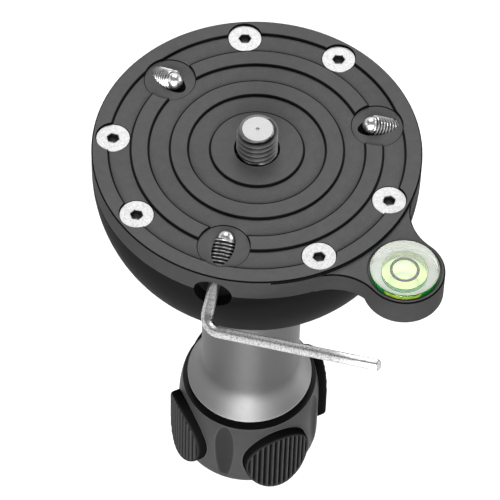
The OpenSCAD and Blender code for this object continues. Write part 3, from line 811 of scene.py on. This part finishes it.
def makeSetScrews():
    count, thread, flats = setScrew["columns"], setScrew["thread"], setScrew["socketFlats"]
    dome = setScrew["pointRadius"]
    below = turnedRings([(dome, thread["low"])] + [
        (dome * math.cos(a), dome - dome * math.sin(a))
        for a in [math.radians(d) for d in range(0, setScrew["domeEnd"], setScrew["domeStep"])]], count)
    end = setScrew["length"]
    floor = end - setScrew["socketDepth"]
    above = [
        circlePoints(thread["highRadius"], end, count),
        hexPoints(flats + setScrew["mouth"], end, count),
        hexPoints(flats, end - setScrew["mouthDepth"], count),
        hexPoints(flats, floor, count),
        circlePoints(setScrew["drillRadius"], floor - setScrew["drillDepth"], count),
    ]
    points, faces, shades = threadedPiece(thread, below, above, count, setScrew["socketShades"])
    turn = Matrix.Rotation(math.radians(setScrew["socketTurn"]), 4, "Z")
    for side, bearing in setScrew["bearings"].items():
        place = screwPlace(bearing) @ Matrix.Translation((0, 0, -setScrew["reach"] * mm)) @ turn
        addPiece("setScrew_" + side, points, faces, side + "_screw", "set_screw_steel",
                 ["set_screw_" + side], place, shades=shades)


tieRod = {
    "columns": 48,
    "thread": {"low": -60.0, "high": -10.0, "pitch": 1.5, "crest": 5.0, "depth": 0.81,
               "lowRadius": 4.0, "lowSlope": 1.0, "highRadius": 4.0, "highSlope": 1.0},
    "lowFace": [(4.0, -60.0), (1.0, -60.0), (0.05, -59.4)],
    "highFace": [(4.0, -10.0), (1.0, -10.0), (0.05, -10.6)],
}


def makeTieRod():
    count = tieRod["columns"]
    below, above = (turnedRings(tieRod[face], count) for face in ("lowFace", "highFace"))
    points, faces, shades = threadedPiece(tieRod["thread"], below, above, count)
    addPiece("tieRod", points, faces, "base", "rod_steel", ["tie_rod"], shades=shades)


plateScrew = {
    "columns": 48,
    "inset": 4.8,
    "pair": 40,
    "bearings": (0, 120, 240),
    "firstTurn": 17,
    "nextTurn": 23,
    "headRadius": 3.9,
    "headHeight": 2.3,
    "rim": 0.08,
    "recessRadius": 1.75,
    "socketFlats": 2.5,
    "socketDepth": 1.5,
    "mouth": 0.24,
    "mouthDepth": 0.16,
    "drillRadius": 0.3,
    "drillDepth": 0.45,
    "socketShades": (0, 0, 0, 0, 0, 0.2, 0.75, 0.85, 0.2),
    "shank": {"low": -12.0, "high": -2.3, "pitch": 0.7, "crest": 2.0, "depth": 0.36,
              "lowRadius": 1.5, "lowSlope": 1.0, "highRadius": 1.9, "highSlope": 1.0},
    "shankEnd": [(1.5, -12.0), (0.4, -12.0), (0.02, -11.9)],
}


def makePlateScrews():
    count, shank, flats = plateScrew["columns"], plateScrew["shank"], plateScrew["socketFlats"]
    head, rim = plateScrew["headRadius"], plateScrew["rim"]
    floor = -plateScrew["socketDepth"]
    below = turnedRings(plateScrew["shankEnd"], count)
    above = [
        circlePoints(shank["highRadius"], -plateScrew["headHeight"], count),
        circlePoints(head, -2 * rim, count),
        circlePoints(head, -rim, count),
        circlePoints(head - rim, 0, count),
        circlePoints(plateScrew["recessRadius"], 0, count),
        hexPoints(flats + plateScrew["mouth"], 0, count),
        hexPoints(flats, -plateScrew["mouthDepth"], count),
        hexPoints(flats, floor, count),
        circlePoints(plateScrew["drillRadius"], floor - plateScrew["drillDepth"], count),
    ]
    onePoints, oneFaces, oneShades = threadedPiece(shank, below, above, count, plateScrew["socketShades"])
    bearings = [b + side * plateScrew["pair"] / 2 for b in plateScrew["bearings"] for side in (-1, 1)]
    points, faces = [], []
    for number, bearing in enumerate(bearings):
        turn = plateScrew["firstTurn"] + plateScrew["nextTurn"] * number
        place = (Matrix.Rotation(math.radians(bearing), 4, "Z")
                 @ Matrix.Translation((part["ballRadius"] - plateScrew["inset"], 0, -part["channelDepth"]))
                 @ Matrix.Rotation(math.radians(turn), 4, "Z"))
        faces += [tuple(i + len(points) for i in face) for face in oneFaces]
        points += [tuple(place @ Vector(p)) for p in onePoints]
    addPiece("plateScrews", points, faces, "base", "screw_steel", ["plate_screws"],
             shades=oneShades * len(bearings))


hexKey = {
    "flats": 2.5,
    "shortArm": 15.4,
    "longArm": 45.2,
    "bend": 4.0,
    "grip": 2.5,
    "corner": 0.28,
    "cornerEase": 0.28,
    "endChamfer": 0.3,
    "endShrink": 0.7,
    "bendSteps": 14,
    "shortRing": 6,
    "longRings": (20, 33),
    "sharp": 40,
}


# hexagon with small rounded corners, flats across the bend's axis
def keySection(scale=1.0):
    flats = hexKey["flats"] * scale
    corner = flats / math.sqrt(3)
    cut = hexKey["corner"]
    points = []
    for k in range(6):
        here = math.radians(60 * k)
        tip = Vector((corner * math.cos(here), corner * math.sin(here)))
        for side in (-1, 0, 1):
            if side == 0:
                points.append(tip * (1 - cut * hexKey["cornerEase"] / corner))
                continue
            other = math.radians(60 * (k + side))
            along = Vector((corner * math.cos(other), corner * math.sin(other))) - tip
            points.append(tip + along.normalized() * cut)
    return points


def makeKey():
    tip = setScrew["length"] - setScrew["reach"] - hexKey["grip"]
    cornerAt = tip + hexKey["shortArm"]
    bend, chamfer, end = hexKey["bend"], hexKey["endChamfer"], hexKey["longArm"]
    shrink = 1 - 2 * chamfer * hexKey["endShrink"] / hexKey["flats"]
    stations = [(Vector((0, 0, z)), 0.0, scale) for z, scale in (
        (tip, shrink), (tip + chamfer, 1.0), (tip + hexKey["shortRing"], 1.0), (cornerAt - bend, 1.0))]
    centre = Vector((0, bend, cornerAt - bend))
    for step in range(1, hexKey["bendSteps"]):
        a = math.pi / 2 * step / hexKey["bendSteps"]
        stations.append((centre + Vector((0, -bend * math.cos(a), bend * math.sin(a))), a, 1.0))
    for y in (bend, *hexKey["longRings"], end - chamfer, end):
        stations.append((Vector((0, y, cornerAt)), math.pi / 2, shrink if y == end else 1.0))
    rings = []
    for middle, turn, scale in stations:
        spin = Matrix.Rotation(-turn, 3, "X")
        rings.append([tuple(middle + spin @ Vector((p.x, p.y, 0))) for p in keySection(scale)])
    points, faces = joinRings(rings)
    place = (screwPlace(setScrew["bearings"]["front"])
             @ Matrix.Rotation(math.radians(setScrew["keyTurn"]), 4, "Z"))
    addPiece("hexKey", points, faces, "key", "key_steel", ["hex_key"], place, sharp=hexKey["sharp"])


gripPad = {
    "count": 4,
    "bearing": -20.5,
    "width": 17.2,
    "height": 21.2,
    "rise": 11.0,
    "proud": 2.2,
    "seat": 1.75,
    "ribs": 12,
    "ribWidth": 1.333,
    "grooveDepth": 0.62,
    "ribStart": 0.25,
    "ribFade": 0.5,
    "flatFrom": 4.0,
    "edgeDrop": 0.8,
    "edgeRound": 0.7,
    "shade": 0.95,
    "columns": 193,
    "rows": 41,
    "endShare": 0.35,
    "evenShare": 0.65,
    "sharp": 50,
}


# radius of the pad's face and the painted shade of its grooves and rounded border,
# ribbed inside that border; u runs across and v along, from the pad's middle
def padRadius(u, v):
    pad = gripPad
    outer = part["knobRadius"] + pad["proud"]
    reach = math.sqrt((2 * u / pad["width"]) ** 2 + (2 * v / pad["height"]) ** 2)
    slope = math.sqrt((u / (pad["width"] / 2) ** 2) ** 2 + (v / (pad["height"] / 2) ** 2) ** 2)
    inward = (1 - reach) * reach / max(slope, 1e-6) if reach > 1e-6 else pad["width"] / 2
    inward = max(0.0, min(inward, pad["flatFrom"]))
    rounding = min(inward / pad["edgeRound"], 1.0)
    height = pad["edgeDrop"] * (math.sqrt(1 - (1 - rounding) ** 2) - 1)
    arc = math.asin(u / outer) * outer
    wave = math.cos(2 * math.pi * arc / pad["ribWidth"] + math.pi * (pad["ribs"] % 2 == 0))
    rib = (0.5 - 0.5 * wave) ** 0.5
    inside = min(max((inward - pad["ribStart"]) / pad["ribFade"], 0.0), 1.0)
    groove = rib * inside * inside * (3 - 2 * inside)
    return outer + height - pad["grooveDepth"] * groove, max(groove, pad["shade"] * (1 - rounding))


def makePads():
    pad = gripPad
    columns, rows = pad["columns"], pad["rows"]
    points, faces, shades = [], [], []
    inner = part["knobRadius"] - pad["seat"]
    middle = part["knobLow"] + pad["rise"]
    for layer in (0, 1):
        for c in range(columns):
            # evenly spaced across, drawn together at the two ends
            even = 2 * c / (columns - 1) - 1
            share = math.sin(math.pi / 2 * even) * pad["endShare"] + even * pad["evenShare"]
            u = share * pad["width"] / 2
            tall = pad["height"] / 2 * math.sqrt(max(0.0, 1 - share * share))
            for r in range(rows):
                v = math.sin(math.pi / 2 * (2 * r / (rows - 1) - 1)) * tall
                # the inner layer is painted fully dark: painted shade on the pad's walls
                radius, groove = padRadius(u, v) if layer == 0 else (inner, 1.0)
                shades.append(groove * pad["shade"])
                points.append((math.sqrt(radius * radius - u * u), u, middle + v))
    size = columns * rows
    for c in range(columns - 1):
        for r in range(rows - 1):
            a, b = c * rows + r, (c + 1) * rows + r
            faces.append((a, b, b + 1, a + 1))
            faces.append((size + a, size + a + 1, size + b + 1, size + b))
        for r in (0, rows - 1):
            a, b = c * rows + r, (c + 1) * rows + r
            faces.append((a, b, size + b, size + a))
    for number in range(pad["count"]):
        place = Matrix.Rotation(math.radians(pad["bearing"] + 360 / pad["count"] * number), 4, "Z")
        addPiece("gripPad_" + str(number + 1), points, faces, "handle", "grip_rubber",
                 ["grip_pad_" + str(number + 1)], place, sharp=pad["sharp"], shades=shades)


level = {
    "columns": 96,
    "radius": 7.85,
    "low": -6.1,
    "top": -0.1,
    "round": 0.3,
    "dome": 0.1,
    "chamberRadius": 5.3,
    "chamberTop": -1.5,
    "chamberLow": -4.3,
    "chamberRound": 0.35,
    "bubbleRadius": 2.5,
    "bubbleDepth": 0.7,
    "overlap": 0.02,
    "targetRadius": 3.05,
    "targetWidth": 0.7,
    "targetThick": 0.1,
    "targetLift": 0.04,
    "footChamfer": 0.15,
    "chamberCorner": 0.05,
    "fluidCorner": 0.03,
    "centre": 0.02,
    "slack": 0.01,
    "roundSteps": 6,
    "domeSteps": 12,
    "easeSteps": 5,
    "dentSteps": 8,
}


def makeLevel():
    count = level["columns"]
    radius, low, top, soft = level["radius"], level["low"], level["top"], level["round"]
    place = Matrix.Translation((part["earReach"] * mm, 0, 0))
    middle, foot, corner = level["centre"], level["footChamfer"], level["chamberCorner"]
    outside = [(middle, low), (radius - foot, low), (radius, low + foot), (radius, top - soft)]
    for step in range(1, level["roundSteps"] + 1):
        a = math.pi / 2 * step / level["roundSteps"]
        outside.append((radius - soft + soft * math.cos(a), top - soft + soft * math.sin(a)))
    inner = radius - soft
    for step in range(1, level["domeSteps"]):
        r = inner * (1 - step / level["domeSteps"])
        outside.append((r, top + level["dome"] * (1 - (r / inner) ** 2)))
    points, faces = joinRings(turnedRings(outside, count))
    wide, high = level["chamberRadius"], level["chamberTop"]
    deep, ease = level["chamberLow"], level["chamberRound"]
    cavity = [(middle, high), (wide - corner, high), (wide, high - corner), (wide, deep + ease)]
    for step in range(1, level["easeSteps"] + 1):
        a = math.pi / 2 * step / level["easeSteps"]
        cavity.append((wide - ease + ease * math.cos(a), deep + ease - ease * math.sin(a)))
    cavity.append((middle, deep))
    more, moreFaces = joinRings(turnedRings(cavity, count), len(points))
    flipped = [tuple(reversed(face)) for face in moreFaces]
    glass = addPiece("levelGlass", points + more, faces + flipped, "base", "level_clear",
                     ["level_body"], place)
    # the cavity's skin faces into the cavity
    shape = bmesh.new()
    shape.from_mesh(glass.data)
    slack = level["slack"]
    hollow = [f for f in shape.faces
              if all((v.co.x - part["earReach"] * mm) ** 2 + v.co.y ** 2 < ((wide + slack) * mm) ** 2
                     and (deep - slack) * mm < v.co.z < (high + slack) * mm for v in f.verts)]
    centre = Vector((part["earReach"] * mm, 0, (high + deep) / 2 * mm))
    turnOver = [f for f in hollow if f.normal.dot(centre - f.calc_center_median()) < 0]
    bmesh.ops.reverse_faces(shape, faces=turnOver)
    shape.to_mesh(glass.data)
    shape.free()

    lap = level["overlap"]
    bubble, dent = level["bubbleRadius"], level["bubbleDepth"]
    fluid = []
    for step in range(level["dentSteps"] + 1):
        r = bubble * step / level["dentSteps"]
        fluid.append((max(r, middle), high + lap - dent * math.sqrt(max(0.0, 1 - (r / bubble) ** 2))))
    fluid += [(wide - corner, high + lap), (wide + lap, high - level["fluidCorner"]),
              (wide + lap, deep + ease)]
    for step in range(1, level["easeSteps"] + 1):
        a = math.pi / 2 * step / level["easeSteps"]
        fluid.append((wide + lap - ease + ease * math.cos(a), deep - lap + ease - ease * math.sin(a)))
    fluid.append((middle, deep - lap))
    points, faces = joinRings(turnedRings(fluid, count))
    addPiece("levelFluid", points, faces, "base", "level_green", ["level_liquid"], place)

    half, thick = level["targetWidth"] / 2, level["targetThick"]
    line = [(level["targetRadius"] + side * half, high + level["targetLift"] + lift)
            for side, lift in ((-1, 0), (1, 0), (1, thick), (-1, thick), (-1, 0))]
    points, faces = joinRings(turnedRings(line, count), ends=())
    addPiece("targetLine", points, faces, "base", "level_black", ["level_target"], place)


makeStud()
makeSetScrews()
makeTieRod()
makePlateScrews()
print("threads cut")
makeKey()
makePads()
makeLevel()
print("pieces made")

# the floor's lift grows between the two distances, the world darkens between the two heights
studio = {
    "floorHeight": -0.1275,
    "floorSize": 6.0,
    "floorGrey": 190,
    "floorRough": 0.9,
    "lift": (0.66, 1.0),
    "liftReach": (0.3, 1.2),
    "worldFill": 0.04,
    "horizon": (0.2, 0.6),
    "ceiling": 0.2,
}


# the lift and the white world show to the eye and in reflections, and light nothing
def whereSeen(tree):
    path = addNode(tree, "ShaderNodeLightPath").outputs
    return either(tree, path["Is Camera Ray"], path["Is Glossy Ray"], path["Is Transmission Ray"])


def makeStudio():
    half = studio["floorSize"] / 2
    mesh = bpy.data.meshes.new("studioFloor")
    height = studio["floorHeight"]
    corners = [(x * half, y * half, height) for x, y in ((-1, -1), (1, -1), (1, 1), (-1, 1))]
    mesh.from_pydata(corners, [], [(0, 1, 2, 3)])
    floor = bpy.data.objects.new("studioFloor", mesh)
    scene.collection.objects.link(floor)
    made, tree, shader = startMaterial("paleFloor", Base_Color=fromGrey(studio["floorGrey"]),
                                       Roughness=studio["floorRough"])
    glow = addNode(tree, "ShaderNodeEmission", {"Color": (1, 1, 1, 1)})
    reach = addNode(tree, "ShaderNodeVectorMath", {0: objectPlace(tree)}, operation="LENGTH").outputs["Value"]
    # the lamps fall off away from the piece, so the floor is lifted more there
    lift = fade(tree, reach, *studio["liftReach"], *studio["lift"])
    tree.links.new(both(tree, whereSeen(tree), lift), glow.inputs["Strength"])
    surface = addNode(tree, "ShaderNodeAddShader", {0: shader.outputs[0], 1: glow.outputs[0]})
    tree.links.new(surface.outputs[0], tree.nodes["Material Output"].inputs["Surface"])
    mesh.materials.append(made)
    world = bpy.data.worlds.new("paleStudio")
    scene.world = world
    world.use_nodes = True
    tree = world.node_tree
    back = tree.nodes["Background"]
    back.inputs["Color"].default_value = (1, 1, 1, 1)
    # white up to the height of the side views' horizon, darker overhead
    heading = splitAxes(tree, addNode(tree, "ShaderNodeTexCoord").outputs["Generated"])
    seen = fade(tree, heading["Z"], *studio["horizon"], 1.0, studio["ceiling"])
    seenHere = both(tree, whereSeen(tree), calc(tree, "SUBTRACT", seen, studio["worldFill"]))
    tree.links.new(calc(tree, "ADD", seenHere, studio["worldFill"]), back.inputs["Strength"])


placeCamera()
placeLamps()
makeStudio()
scene.view_settings.view_transform = "Standard"
print("studio ready")
